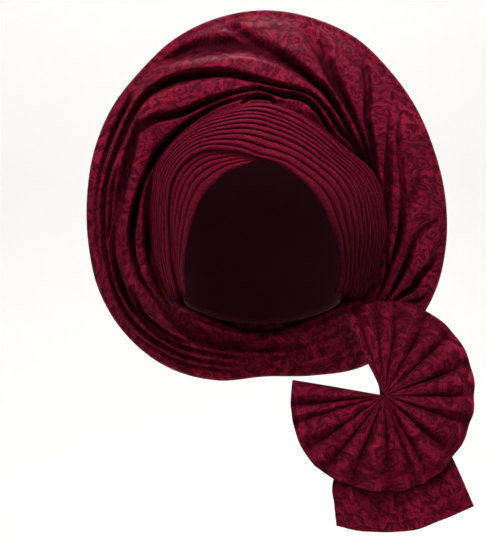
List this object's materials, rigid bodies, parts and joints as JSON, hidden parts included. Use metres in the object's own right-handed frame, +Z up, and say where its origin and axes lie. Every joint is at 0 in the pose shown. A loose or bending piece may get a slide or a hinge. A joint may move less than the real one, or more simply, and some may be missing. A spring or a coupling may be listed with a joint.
{
  "type": "tied gele head tie",
  "caption": "Large round pleated head tie with crossed brow pleats, draped disc-like halo, side fan rosette and short flared tail, open for the head",
  "frame": {"origin": "inside of the crown, where the wrap sits on top of the head, midway between forehead and back of head", "axes": "+Z up along the standing head, -Y the way the face looks, +X the wearer's left"},
  "size_m": [0.3663, 0.1902, 0.4921],
  "materials": {
    "wine_damask": "satin",
    "wrap_lining": "matte"
  },
  "bodies": {
    "root": {"head_wrap": "wrap_lining", "brow_pleats_under": "wine_damask", "brow_pleats_over": "wine_damask", "halo_front": "wine_damask", "halo_back": "wine_damask", "fan_rosette": "wine_damask", "fan_tail": "wine_damask"}
  },
  "joints": []
}
